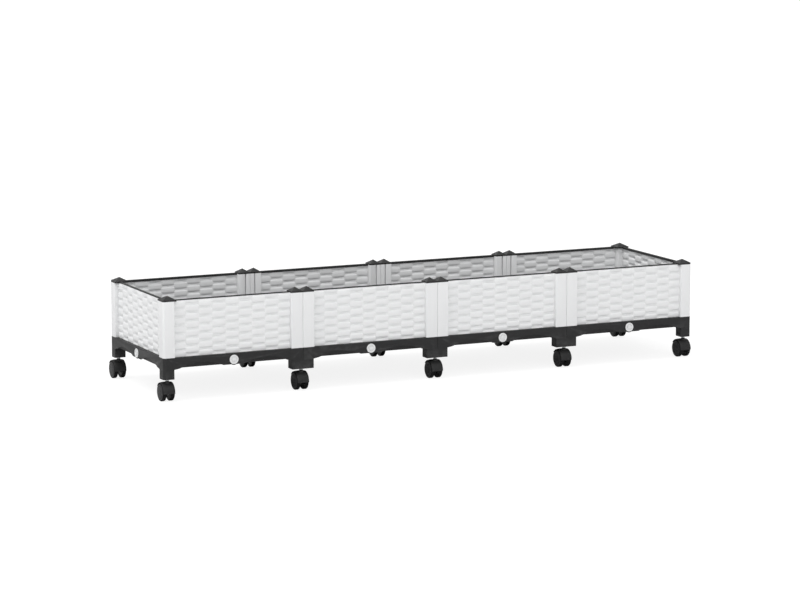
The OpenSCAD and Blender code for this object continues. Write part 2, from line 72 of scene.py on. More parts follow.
class Wire:
    """A socket of a node tree that takes part in Python arithmetic."""

    def __init__(self, graph: "Graph", socket: bpy.types.NodeSocket) -> None:
        """Keeps the tree and the socket that the value leaves from."""
        self.graph = graph
        self.socket = socket

    def _join(self, operation: str, *values: "Wire | Number") -> "Wire":
        """Adds a Math node, or a Vector Math node where one of the values is a vector.

        Args:
            operation: the node's operation.
            values: what goes into its sockets, in order.

        Returns:
            The wire that leaves the node.
        """
        vectors = any(isinstance(v, Wire) and v.socket.type in ("VECTOR", "RGBA") for v in values)
        kind = "ShaderNodeVectorMath" if vectors else "ShaderNodeMath"
        fed = {i: (v,) * 3 if vectors and not isinstance(v, Wire) else v for i, v in enumerate(values)}
        return self.graph.node(kind, {"operation": operation}, fed)

    def apply(self, operation: str, *others: "Wire | Number") -> "Wire":
        """Runs the value through a named operation, such as SINE or MINIMUM."""
        return self._join(operation, self, *others)

    def out(self, name: str) -> "Wire":
        """Another output of the node that this wire leaves."""
        return Wire(self.graph, self.socket.node.outputs[name])

    def __add__(self, other: "Wire | Number") -> "Wire":
        """self + other."""
        return self._join("ADD", self, other)

    def __radd__(self, other: Number) -> "Wire":
        """other + self."""
        return self._join("ADD", other, self)

    def __sub__(self, other: "Wire | Number") -> "Wire":
        """self - other."""
        return self._join("SUBTRACT", self, other)

    def __rsub__(self, other: Number) -> "Wire":
        """other - self."""
        return self._join("SUBTRACT", other, self)

    def __mul__(self, other: "Wire | Number") -> "Wire":
        """self * other."""
        return self._join("MULTIPLY", self, other)

    def __rmul__(self, other: Number) -> "Wire":
        """other * self."""
        return self._join("MULTIPLY", other, self)

    def __truediv__(self, other: "Wire | Number") -> "Wire":
        """self / other."""
        return self._join("DIVIDE", self, other)

    def __neg__(self) -> "Wire":
        """-self."""
        return self._join("MULTIPLY", self, -1.0)

    def __pow__(self, other: "Wire | Number") -> "Wire":
        """self ** other."""
        return self._join("POWER", self, other)

    def __gt__(self, other: "Wire | Number") -> "Wire":
        """1 where self is greater than other, else 0."""
        return self._join("GREATER_THAN", self, other)

    def __lt__(self, other: "Wire | Number") -> "Wire":
        """1 where self is less than other, else 0."""
        return self._join("LESS_THAN", self, other)


class Graph:
    """A node tree, with one method for a node of any kind."""

    def __init__(self, tree: bpy.types.NodeTree) -> None:
        """Keeps the tree."""
        self.tree = tree

    def node(
        self,
        kind: str,
        settings: dict[str, object] | None = None,
        inputs: dict[int | str, object] | None = None,
        output: int | str = 0,
    ) -> Wire:
        """Adds one node, sets it up and feeds it.

        Args:
            kind: the node's type.
            settings: its properties, set first.
            inputs: wires or plain values, by the socket's name or number.
            output: the socket that the result leaves from.

        Returns:
            The wire from that output, or of the first input where a node has no output.
        """
        node = self.tree.nodes.new(kind)
        for name, value in (settings or {}).items():
            setattr(node, name, value)
        for key, value in (inputs or {}).items():
            if isinstance(value, Wire):
                self.tree.links.new(value.socket, node.inputs[key])
            else:
                node.inputs[key].default_value = value
        return Wire(self, node.outputs[output] if node.outputs else node.inputs[0])

    def mix(self, factor: Wire | Number, first: object, second: object) -> Wire:
        """Blends two colours.

        Args:
            factor: 0 for the first, 1 for the second.
            first: a wire or an RGBA tuple.
            second: a wire or an RGBA tuple.

        Returns:
            The blended colour.
        """
        return self.node("ShaderNodeMix", {"data_type": "RGBA"}, {0: factor, 6: first, 7: second}, 2)

    def rising(self, value: Wire, low: float, high: float) -> Wire:
        """Takes a value to 0 below one level and to 1 above another, smoothly in between.

        Args:
            value: the value.
            low: the level up to which the result is 0.
            high: the level from which it is 1.

        Returns:
            The result.
        """
        settings = {"interpolation_type": "SMOOTHSTEP"}
        return self.node("ShaderNodeMapRange", settings, {"Value": value, "From Min": low, "From Max": high})

    def joined(self, *parts: Wire) -> Wire:
        """Joins geometries.

        Args:
            parts: the geometries.

        Returns:
            The joined geometry.
        """
        joint = self.node("GeometryNodeJoinGeometry")
        for part in parts:
            self.tree.links.new(part.socket, joint.socket.node.inputs[0])
        return joint

    def raised(self, geometry: Wire, height: Wire | Number) -> Wire:
        """Moves a geometry along Z.

        Args:
            geometry: the geometry.
            height: how far up it goes.

        Returns:
            The moved geometry.
        """
        move = self.node("ShaderNodeCombineXYZ", inputs={2: height})
        return self.node("GeometryNodeTransform", inputs={"Geometry": geometry, "Translation": move})

    def inlets(self, kind: str, starts: dict[str, object]) -> None:
        """Adds named inputs of one kind to the tree's interface.

        Args:
            kind: their sockets' type.
            starts: each one's default value, or None, by its name.
        """
        for name, start in starts.items():
            socket = self.tree.interface.new_socket(name=name, in_out="INPUT", socket_type=kind)
            if start is not None:
                socket.default_value = start

    def outlet(self, geometry: Wire) -> None:
        """Gives the tree one geometry output and feeds it."""
        self.tree.interface.new_socket(name="Geometry", in_out="OUTPUT", socket_type="NodeSocketGeometry")
        self.node("NodeGroupOutput", inputs={0: geometry})


# Finishes


def blank_material(name: str) -> tuple[bpy.types.Material, Graph]:
    """Makes a material with an empty node tree.

    Args:
        name: the material's name.

    Returns:
        The material and its graph.
    """
    material = bpy.data.materials.new(name)
    material.use_nodes = True
    material.node_tree.nodes.clear()
    return material, Graph(material.node_tree)


@dataclass(frozen=True)
class Plastic:
    """A moulded plastic: its colour, the grain of its mould and the little that use adds to it.

    relief is the height of the mould's grain, drift the share by which its tone wanders, rub the
    lightening of its worn edges, the dusting share the paler grey of its upward faces, partly a settled
    dusting and partly a painted sheen where light falls on top, and ribs the distance between the fine
    ribs along a strand. The values in capitals are the same for every plastic: the scales of its noises
    and the ribs' sway, what the noises and use do to the roughness, the spans in which edges and patches
    count as worn, and where and how thickly the dusting and painted sheen lie.
    """

    FLOW_SCALE = 7.0
    CLOUD_SCALE = 38.0
    SWAY_SCALE = 60.0
    SWAY = 0.6
    CLOUD_ROUGH = 0.14
    GRAIN_ROUGH = 0.08
    WORN_ROUGH = -0.05
    WORN_EDGE = (0.52, 0.6)
    WORN_PATCH = (0.35, 0.66)
    # The paler grey of upward faces and its mask: partly a settled dusting, partly a painted sheen of the
    # light on top faces.
    DUST_AND_SHEEN_COLOUR = (0.42, 0.40, 0.37, 1.0)
    DUST_AND_SHEEN_ROUGH = 0.2
    DUST_AND_SHEEN_SLOPE = 0.35
    DUST_AND_SHEEN_GAIN = 1.4
    DUST_AND_SHEEN_FLOOR = 0.2

    name: str
    slot: str
    colour: tuple[float, float, float]
    roughness: float = 0.5
    specular: float = 0.4
    grain: float = 0.7 * MM
    relief: float = 0.02 * MM
    drift: float = 0.02
    rub: float = 0.0
    dust_and_sheen: float = 0.0
    ribs: float = 0.0
    rib_relief: float = 0.05 * MM

    def _ribbing(self, graph: Graph, place: Wire) -> Wire:
        """Fine ribs that run along the strands, a little uneven.

        Args:
            graph: the material's tree.
            place: the object's coordinates.

        Returns:
            A height from 0 to 1.
        """
        height = graph.node("ShaderNodeSeparateXYZ", inputs={0: place}, output="Z")
        sway = graph.node("ShaderNodeTexNoise", inputs={
            "Vector": place, "Scale": self.SWAY_SCALE, "Detail": 1.0})
        turn = (height + sway * (self.SWAY * self.ribs)) * (2 * math.pi / self.ribs)
        return turn.apply("SINE") * 0.5 + 0.5

    def material(self) -> bpy.types.Material:
        """Builds the material's nodes.

        Returns:
            The material.
        """
        material, graph = blank_material(self.name)
        place = graph.node("ShaderNodeTexCoord", output="Object")
        facing = graph.node("ShaderNodeTexCoord", output="Normal")
        grain = graph.node("ShaderNodeTexNoise", inputs={
            "Vector": place, "Scale": 1 / self.grain, "Detail": 3.0, "Roughness": 0.6})
        flow = graph.node("ShaderNodeTexNoise", inputs={
            "Vector": place, "Scale": self.FLOW_SCALE, "Detail": 2.0, "Distortion": 0.6})
        cloud = graph.node("ShaderNodeTexNoise", inputs={
            "Vector": place, "Scale": self.CLOUD_SCALE, "Detail": 4.0, "Roughness": 0.62})

        shade = 1 + (flow - 0.5) * (2 * self.drift) + (cloud - 0.5) * self.drift
        base = graph.node("ShaderNodeVectorMath", {"operation": "SCALE"}, {0: self.colour, 3: shade})
        rough = self.roughness + (cloud - 0.5) * self.CLOUD_ROUGH + (grain - 0.5) * self.GRAIN_ROUGH
        if self.rub:
            edge = graph.node("ShaderNodeNewGeometry", output="Pointiness")
            worn = graph.rising(edge, *self.WORN_EDGE) * graph.rising(cloud, *self.WORN_PATCH)
            lighter = tuple(min(1.0, c + self.rub) for c in self.colour) + (1.0,)
            base = graph.mix(worn, base, lighter)
            rough = rough + worn * self.WORN_ROUGH
        # Upward faces turn a paler grey: partly a settled dusting, partly a painted sheen where light falls
        # on top.
        if self.dust_and_sheen:
            up = graph.node("ShaderNodeSeparateXYZ", inputs={0: facing}, output="Z")
            patch = (cloud * self.DUST_AND_SHEEN_GAIN - self.DUST_AND_SHEEN_FLOOR).apply("MAXIMUM", 0.0)
            dust_and_sheen_mask = (up - self.DUST_AND_SHEEN_SLOPE).apply("MAXIMUM", 0.0) * patch
            base = graph.mix(dust_and_sheen_mask * self.dust_and_sheen, base, self.DUST_AND_SHEEN_COLOUR)
            rough = rough + dust_and_sheen_mask * self.DUST_AND_SHEEN_ROUGH

        height = grain
        distance = self.relief
        if self.ribs:
            distance = self.rib_relief + self.relief
            ribbing = self._ribbing(graph, place) * (self.rib_relief / distance)
            height = ribbing + grain * (self.relief / distance)
        normal = graph.node("ShaderNodeBump", inputs={
            "Strength": 1.0, "Distance": distance, "Height": height})
        surface = graph.node("ShaderNodeBsdfPrincipled", inputs={
            "Base Color": base, "Roughness": rough, "Specular IOR Level": self.specular, "Normal": normal})
        graph.node("ShaderNodeOutputMaterial", inputs={"Surface": surface})
        return material


@dataclass(frozen=True)
class Metal:
    """A zinc-plated steel with fine level lines of turning and a dull bloom."""

    name: str
    slot: str
    colour: tuple[float, float, float] = (0.56, 0.57, 0.58)
    bloom_colour: tuple[float, float, float] = (0.42, 0.42, 0.40)
    bloom_scale: float = 240.0
    roughness: float = 0.32
    ring_pitch: float = 0.35 * MM
    ring_relief: float = 0.01 * MM

    def material(self) -> bpy.types.Material:
        """Builds the material's nodes.

        Returns:
            The material.
        """
        material, graph = blank_material(self.name)
        place = graph.node("ShaderNodeTexCoord", output="Object")
        bloom = graph.node("ShaderNodeTexNoise", inputs={
            "Vector": place, "Scale": self.bloom_scale, "Detail": 3.0})
        height = graph.node("ShaderNodeSeparateXYZ", inputs={0: place}, output="Z")
        rings = (height * (2 * math.pi / self.ring_pitch)).apply("SINE") * 0.5 + 0.5
        base = graph.mix(bloom * 0.5, (*self.colour, 1.0), (*self.bloom_colour, 1.0))
        normal = graph.node("ShaderNodeBump", inputs={
            "Strength": 0.5, "Distance": self.ring_relief, "Height": rings})
        surface = graph.node("ShaderNodeBsdfPrincipled", inputs={
            "Base Color": base, "Roughness": self.roughness + bloom * 0.2, "Metallic": 1.0, "Normal": normal})
        graph.node("ShaderNodeOutputMaterial", inputs={"Surface": surface})
        return material


class Finish(Enum):
    """The finishes of the planter's pieces. The steel has no slot, as the record names none for it."""

    WOVEN = Plastic("woven_white", "white_plastic", (0.80, 0.805, 0.81), 0.55, 0.25, drift=0.012,
                    ribs=1.85 * MM)
    WHITE = Plastic("satin_white", "white_plastic", (0.79, 0.795, 0.80), 0.6, 0.22, relief=0.012 * MM,
                    drift=0.01)
    BLACK = Plastic("satin_black", "black_plastic", (0.022, 0.022, 0.0225), 0.5, 0.22, drift=0.08, rub=0.02,
                    dust_and_sheen=0.03)
    PALE = Plastic("pale_plug", "pale_plastic", (0.74, 0.745, 0.75), 0.4, 0.4, relief=0.01 * MM)
    WHEEL = Plastic("wheel_nylon", "wheel_plastic", (0.02, 0.02, 0.021), 0.46, 0.25, grain=0.5 * MM,
                    relief=0.008 * MM, drift=0.1, rub=0.03, dust_and_sheen=0.04)
    # Near-black tread: partly the soft rubber's own darker tone, partly painted shade for the hood's shadow
    # on it.
    TREAD = Plastic("soft_tread", "wheel_plastic", (0.006, 0.006, 0.0065), 0.75, 0.15, grain=0.4 * MM,
                    relief=0.015 * MM, drift=0.15, dust_and_sheen=0.03)
    STEEL = Metal("plated_steel", "")

    @property
    def material(self) -> bpy.types.Material:
        """The finish's material, built once."""
        return bpy.data.materials.get(self.value.name) or self.value.material()


# Shapes


def at(x: float, y: float, z: float) -> Matrix:
    """A move to a place."""
    return Matrix.Translation((x, y, z))


def turned(degrees: float, axis: str) -> Matrix:
    """A turn about an axis."""
    return Matrix.Rotation(math.radians(degrees), 4, axis)


def linked(name: str, data: bpy.types.ID) -> bpy.types.Object:
    """A new object in the scene."""
    item = bpy.data.objects.new(name, data)
    bpy.context.scene.collection.objects.link(item)
    return item


def evaluated(item: bpy.types.Object) -> bpy.types.Mesh:
    """Takes the plain mesh that an object's modifiers make, and removes the object."""
    bpy.context.view_layer.update()
    mesh = bpy.data.meshes.new_from_object(item.evaluated_get(bpy.context.evaluated_depsgraph_get()))
    bpy.data.objects.remove(item)
    return mesh


def arc(centre: Point, radius: float, start: float, end: float, cuts: int) -> list[Point]:
    """Points along an arc.

    Args:
        centre: the arc's centre.
        radius: its radius.
        start: the angle of its first point, in degrees.
        end: the angle of its last point, in degrees.
        cuts: how many stretches it is cut into.

    Returns:
        cuts + 1 points.
    """
    angles = [math.radians(start + (end - start) * i / cuts) for i in range(cuts + 1)]
    return [(centre[0] + radius * math.cos(a), centre[1] + radius * math.sin(a)) for a in angles]


class Shape:
    """A closed mesh in the making.

    WELD is the distance up to which corners are one, FLAT the angle in degrees up to which
    neighbouring faces are, and CREASE the one from which an edge stays sharp to the eye.
    """

    WELD = 0.002 * MM
    FLAT = 0.6
    CREASE = 38.0

    def __init__(self, mesh: bmesh.types.BMesh | None = None) -> None:
        """Starts from a mesh, or from nothing."""
        self.mesh = mesh or bmesh.new()

    @classmethod
    def copied(cls, node: str) -> "Shape":
        """Copies the solids of a node, with their corners merged and flat faces whole.

        Args:
            node: the node's name.

        Returns:
            The shape.
        """
        shape = cls()
        mesh = shape.mesh
        mesh.from_mesh(frame["nodes"][node].data)
        bmesh.ops.remove_doubles(mesh, verts=mesh.verts, dist=cls.WELD)
        bmesh.ops.dissolve_degenerate(mesh, edges=mesh.edges, dist=cls.WELD)
        bmesh.ops.dissolve_limit(mesh, angle_limit=math.radians(cls.FLAT), verts=mesh.verts,
                                 edges=mesh.edges, use_dissolve_boundaries=False)
        return shape

    @classmethod
    def lathed(cls, profile: Sequence[Point], cuts: int, ring: bool = False) -> "Shape":
        """Turns a profile round Z.

        Args:
            profile: (radius, height) points whose ends lie on the axis, or a closed section of a ring.
            cuts: how many steps the turn has.
            ring: whether the profile is a closed section.

        Returns:
            The shape.
        """
        shape = cls()
        mesh = shape.mesh
        angles = [2 * math.pi * i / cuts for i in range(cuts)]
        rings = []
        for radius, height in profile:
            on_axis = radius < cls.WELD
            spots = [(0, 0)] if on_axis else [(radius * math.cos(a), radius * math.sin(a)) for a in angles]
            rings.append([mesh.verts.new((x, y, height)) for x, y in spots])
        for lower, upper in zip(rings, rings[1:] + (rings[:1] if ring else [])):
            for i in range(cuts):
                n = (i + 1) % cuts
                corners = [lower[i % len(lower)], lower[n % len(lower)]]
                corners += [upper[n % len(upper)], upper[i % len(upper)]]
                mesh.faces.new(list(dict.fromkeys(corners)))
        bmesh.ops.recalc_face_normals(mesh, faces=mesh.faces)
        return shape

    @classmethod
    def swept(cls, section: Sequence[Point], start: float, end: float, cuts: int) -> "Shape":
        """Turns a closed section round X, part of the way.

        Args:
            section: (radius, x) points of the closed section.
            start: the first angle, from +Y over the top, in degrees.
            end: the last angle.
            cuts: how many steps the turn has.

        Returns:
            The shape.
        """
        shape = cls()
        mesh = shape.mesh
        rings = []
        for i in range(cuts + 1):
            a = math.radians(start + (end - start) * i / cuts)
            rings.append([mesh.verts.new((x, r * math.cos(a), r * math.sin(a))) for r, x in section])
        count = len(section)
        for lower, upper in zip(rings, rings[1:]):
            for i in range(count):
                n = (i + 1) % count
                mesh.faces.new((lower[i], lower[n], upper[n], upper[i]))
        mesh.faces.new(rings[0])
        mesh.faces.new(rings[-1])
        bmesh.ops.recalc_face_normals(mesh, faces=mesh.faces)
        return shape

    @classmethod
    def drawn_out(cls, outline: Sequence[Point], x0: float, x1: float) -> "Shape":
        """Draws an outline in the YZ plane out along X.

        Args:
            outline: (y, z) points.
            x0: where it starts.
            x1: where it ends.

        Returns:
            The shape.
        """
        shape = cls()
        mesh = shape.mesh
        ends = [[mesh.verts.new((x, y, z)) for y, z in outline] for x in (x0, x1)]
        for i in range(len(outline)):
            n = (i + 1) % len(outline)
            mesh.faces.new((ends[0][i], ends[0][n], ends[1][n], ends[1][i]))
        for end in ends:
            mesh.faces.new(end)
        bmesh.ops.recalc_face_normals(mesh, faces=mesh.faces)
        return shape

    def placed(self, place: Matrix) -> "Shape":
        """A copy of the shape at another place.

        Args:
            place: where it goes.

        Returns:
            The copy.
        """
        copy = self.mesh.copy()
        bmesh.ops.transform(copy, matrix=place, verts=copy.verts)
        return Shape(copy)

    def softened(self, width: float, segments: int = 2, sharp: float = 32.0) -> "Shape":
        """Rounds the sharp edges.

        Args:
            width: the width of the rounding.
            segments: its steps.
            sharp: the angle from which an edge is rounded, in degrees.

        Returns:
            The softened shape.
        """
        body = self._object("softening")
        bevel = body.modifiers.new("soft_edges", "BEVEL")
        bevel.width = width
        bevel.segments = segments
        bevel.limit_method = "ANGLE"
        bevel.angle_limit = math.radians(sharp)
        bevel.use_clamp_overlap = True
        return Shape._baked(body)

    def closed_up(self, seams: Sequence[float], reach: float, gap: float, left: float) -> "Shape":
        """Brings the faces on both sides of each seam across X almost together.

        Args:
            seams: the places of the seams along X.
            reach: the distance from a seam within which the shape gives way.
            gap: the gap that the seams have now.
            left: the gap that is left.

        Returns:
            The shape itself.
        """
        stretch = (reach - left / 2) / (reach - gap / 2)
        for corner in self.mesh.verts:
            for seam in seams:
                aside = corner.co.x - seam
                if abs(aside) < reach:
                    corner.co.x = seam + math.copysign(left / 2 + (abs(aside) - gap / 2) * stretch, aside)
        return self

    def fused(self, *others: "Shape") -> "Shape":
        """Unites the shape with others.

        Args:
            others: closed shapes that overlap it.

        Returns:
            The united shape.
        """
        body = self._object("fusing")
        tools = [other._object(f"fusing_{i}") for i, other in enumerate(others)]
        for tool in tools:
            union = body.modifiers.new("union", "BOOLEAN")
            union.operation = "UNION"
            union.solver = "EXACT"
            union.object = tool
        result = Shape._baked(body)
        for tool in tools:
            bpy.data.objects.remove(tool)
        return result

    def _object(self, name: str) -> bpy.types.Object:
        """Puts the shape into a new object of the scene."""
        data = bpy.data.meshes.new(name)
        self.mesh.to_mesh(data)
        return linked(name, data)

    @staticmethod
    def _baked(item: bpy.types.Object) -> "Shape":
        """The shape that an object's modifiers make. The object goes."""
        data = evaluated(item)
        shape = Shape()
        shape.mesh.from_mesh(data)
        bpy.data.meshes.remove(data)
        return shape

    def piece(self, name: str, body: str, finish: Finish, nodes: Sequence[str] = ()) -> None:
        """Makes the shape a piece of the planter.

        Args:
            name: the piece's name.
            body: the body that it rides on.
            finish: its finish.
            nodes: the nodes that it stands for.
        """
        item = self._object(name)
        item.data.materials.append(finish.material)
        item.data.shade_smooth()
        item.data.set_sharp_from_angle(angle=math.radians(self.CREASE))
        settle(item, body, nodes)


def settle(item: bpy.types.Object, body: str, nodes: Sequence[str] = ()) -> None:
    """Puts a finished piece on its body.

    Args:
        item: the piece.
        body: the body that it rides on.
        nodes: the nodes that it stands for.
    """
    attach(item, body)
    if nodes:
        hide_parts(*nodes)
    LOG.info("%s: %d faces on %s", item.name, len(item.data.polygons), body)


# Wall


class Side(Enum):
    """The outward sides of the row, with the turn in degrees that brings a front piece there."""

    FRONT = 0
    BACK = 180
    LEFT = -90
    RIGHT = 90

    @property
    def turn(self) -> Matrix:
        """The turn about Z."""
        return turned(self.value, "Z")


@dataclass(frozen=True)
class Weave:
    """The rule of the woven wall: strands that pass in front of a panel and behind it in turn.

    Along X the columns count from the panel's middle, and down the panel the strands count from its top.
    Where a strand passes in front it is nearly two strands high, and the one behind it shows in a slot.
    rise, middle_rise and sink are the heights of a strand's middle in front, between and behind, and groove
    is the depth of the edges. dive, hug and fullness are the powers that bend a strand along its way, in
    height and across, and crowding is how strongly the corners gather where it dives. spare is the number
    of the grid's rows of corners past the woven part at each end, for the tongues, and hair the share of a
    strand by which a corner on the edge of two counts to the lower one.
    """

    column_pitch: float = 37.9 * MM
    strand_pitch: float = 11.1 * MM
    slot: float = 4.2 * MM
    top_strand: float = 5.2 * MM
    thickness: float = 3 * MM
    rise: float = 2.2 * MM
    middle_rise: float = 1.5 * MM
    sink: float = 2.2 * MM
    groove: float = 2 * MM
    tongue: float = 9 * MM
    edge_gap: float = 0.05 * MM
    dive: float = 0.6
    hug: float = 0.32
    fullness: float = 5.0
    column_cuts: int = 14
    strand_cuts: int = 8
    crowding: float = 0.6
    spare: int = 2
    hair: float = 0.0001
    weld: float = 0.01 * MM

    def tree(self) -> bpy.types.NodeTree:
        """Builds the Geometry Nodes tree that weaves one panel from a closed grid.

        Returns:
            The tree, with the panel's sizes as its inputs.
        """
        graph = Graph(bpy.data.node_groups.new("woven_panel", "GeometryNodeTree"))
        graph.inlets("NodeSocketFloat", {
            "Woven width": None, "Height": None, "Tongue": None, "Thickness": self.thickness,
            "Column pitch": self.column_pitch, "Strand pitch": self.strand_pitch,
            "Slot": self.slot, "Top strand": self.top_strand, "Rise": self.rise,
            "Middle rise": self.middle_rise, "Sink": self.sink, "Groove": self.groove,
            "Dive": self.dive, "Hug": self.hug, "Fullness": self.fullness, "Crowding": self.crowding})
        graph.inlets("NodeSocketInt", {
            "Columns": None, "Strands": None,
            "Column cuts": self.column_cuts, "Strand cuts": self.strand_cuts})
        graph.inlets("NodeSocketMaterial", {"Material": None})
        given = graph.node("NodeGroupInput")

        # A closed grid with spare rows of corners at both ends, for the flat tongues
        step = given.out("Column pitch") / given.out("Column cuts")
        width = given.out("Columns") * given.out("Column pitch")
        drop = given.out("Strands") * given.out("Strand pitch")
        size = graph.node("ShaderNodeCombineXYZ", inputs={
            0: width + step * (2 * self.spare), 1: given.out("Thickness"), 2: drop})
        grid = graph.node("GeometryNodeMeshCube", inputs={
            "Size": size, "Vertices Y": 2,
            "Vertices X": given.out("Columns") * given.out("Column cuts") + (2 * self.spare + 1),
            "Vertices Z": given.out("Strands") * given.out("Strand cuts") + 1})
        place = graph.node("ShaderNodeSeparateXYZ", inputs={0: graph.node("GeometryNodeInputPosition")})
        x, y, z = place.out("X"), place.out("Y"), place.out("Z")

        # Along the panel: the corners crowd towards the dives
        column = given.out("Column pitch")
        count = (x / column).apply("ROUND")
        offset = x / column - count
        crowded = (offset * (2 * math.pi)).apply("SINE") * given.out("Crowding") / (2 * math.pi)
        along = ((count + offset + crowded) * column).apply("ABSOLUTE")
        beyond = (x.apply("ABSOLUTE") - width * 0.5) / step
        reach = along.apply("MINIMUM", given.out("Woven width") * 0.5)
        final_x = x.apply("SIGN") * (reach + given.out("Tongue") * (beyond > self.spare - 0.5))

        # In front or behind: from 1 where a strand passes in front of this face to -1 where it is behind
        pitch = given.out("Strand pitch")
        down = (drop * 0.5 - z) / pitch
        strand = (down + self.hair).apply("FLOOR")
        front = y < 0
        outwards = 1 - front * 2
        wave = (final_x / column * math.pi).apply("COSINE") * (strand * math.pi).apply("COSINE") * outwards
        depth = wave.apply("SIGN") * wave.apply("ABSOLUTE") ** given.out("Dive")
        spread = wave.apply("SIGN") * wave.apply("ABSOLUTE") ** given.out("Hug")

        # Down the panel: a strand in front spreads over the slot of the one behind
        middle = given.out("Height") - given.out("Top strand") + pitch * (0.5 - strand)
        half = pitch * 0.5 * (1 + (1 - given.out("Slot") / pitch) * spread)
        bend = ((down - strand - 0.5) * math.pi).apply("SINE")
        height = (middle - bend * half).apply("MAXIMUM", 0.0).apply("MINIMUM", given.out("Height"))
        across = (height - middle) / half
        crown = (1 - across.apply("ABSOLUTE") ** given.out("Fullness")).apply("MAXIMUM", 0.0).apply("SQRT")

        # Outwards: the strand's middle and, lower where one strand covers another, its edges
        level = given.out("Middle rise")
        ridge = level + depth.apply("MAXIMUM", 0.0) * (given.out("Rise") - level)
        ridge = ridge + depth.apply("MINIMUM", 0.0) * (level + given.out("Sink"))
        edge = level - spread * spread * (level + given.out("Groove"))
        bulge = (edge + (ridge - edge) * crown) * (beyond < 0.5)
        final_y = (1 - front) * given.out("Thickness") + outwards * bulge
        moved = graph.node("GeometryNodeSetPosition", inputs={
            "Geometry": grid,
            "Position": graph.node("ShaderNodeCombineXYZ", inputs={0: final_x, 1: final_y, 2: height})})
        merged = graph.node("GeometryNodeMergeByDistance", inputs={0: moved, "Distance": self.weld})
        real = graph.node("GeometryNodeRealizeInstances", inputs={0: merged})
        dressed = graph.node("GeometryNodeSetMaterial", inputs={0: real, "Material": given.out("Material")})
        graph.outlet(dressed)
        return graph.tree


def grown(
    tree: bpy.types.NodeTree, values: dict[str, object], start: bpy.types.Mesh | None = None
) -> bpy.types.Mesh:
    """Runs a Geometry Nodes tree once.

    Args:
        tree: the tree.
        values: its inputs, by name.
        start: the mesh that it starts from, if it takes one.

    Returns:
        The plain mesh that it makes.
    """
    item = linked("growing", start or bpy.data.meshes.new("growing"))
    modifier = item.modifiers.new("rule", "NODES")
    modifier.node_group = tree
    names = {s.name: s.identifier for s in tree.interface.items_tree if s.in_out == "INPUT"}
    for name, value in values.items():
        modifier[names[name]] = value
    return evaluated(item)


@dataclass
class Wall:
    """The white wall round the row: woven panels in slotted posts, with black strips and caps on top."""

    weave: Weave = Weave()
    strand_crease: float = 50.0
    post_soft: float = 0.8 * MM
    seam_reach: float = 3 * MM
    seam: float = 0.4 * MM
    seam_left: float = 0.05 * MM
    cap_soft: float = 0.7 * MM
    strip_soft: float = 0.5 * MM

    def build(self) -> None:
        """Builds the panels, the posts, the strips and the caps."""
        tree = self.weave.tree()
        for k in MODULES:
            self._panel(tree, f"front_panel_{k}", Side.FRONT)
            self._panel(tree, f"back_panel_{k}", Side.BACK)
        self._panel(tree, "left_end_panel", Side.LEFT)
        self._panel(tree, "right_end_panel", Side.RIGHT)
        swivels = [joint for joint in frame["joints"] if joint["name"].startswith("caster_front_")]
        seams = [joint["pos_m"][0] for joint in swivels[1:-1]]
        posts = Shape.copied("corner_posts").closed_up(seams, self.seam_reach, self.seam, self.seam_left)
        posts.softened(self.post_soft, 3).piece("post_mouldings", "planter", Finish.WHITE, ["corner_posts"])
        Shape.copied("edge_strips").softened(self.strip_soft).piece(
            "edge_strip_mouldings", "planter", Finish.BLACK, ["edge_strips"])
        Shape.copied("post_caps").softened(self.cap_soft, 3, sharp=14.0).piece(
            "post_cap_mouldings", "planter", Finish.BLACK, ["post_caps"])

    def _panel(self, tree: bpy.types.NodeTree, node: str, side: Side) -> None:
        """Weaves one panel in the place of its node.

        Args:
            tree: the weaving tree.
            node: the panel's node.
            side: the side that it stands on.
        """
        low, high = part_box(node)
        weave = self.weave
        length = high.x - low.x if side in (Side.FRONT, Side.BACK) else high.y - low.y
        tongue = weave.tongue + weave.edge_gap
        woven = length - 2 * tongue
        columns = 2 * math.ceil((woven / weave.column_pitch - 1) / 2) + 1
        height = high.z - low.z
        strands = math.ceil((height - weave.top_strand) / weave.strand_pitch) + 1
        mesh = grown(tree, {
            "Woven width": woven, "Height": height, "Tongue": tongue, "Columns": columns, "Strands": strands,
            "Material": Finish.WOVEN.material})
        middle = (low + high) / 2
        mesh.transform(at(middle.x, middle.y, low.z) @ side.turn @ at(0, -weave.thickness / 2, 0))
        mesh.name = node + "_weave"
        mesh.shade_smooth()
        mesh.set_sharp_from_angle(angle=math.radians(self.strand_crease))
        settle(linked(node + "_weave", mesh), "planter", [node])


# Base


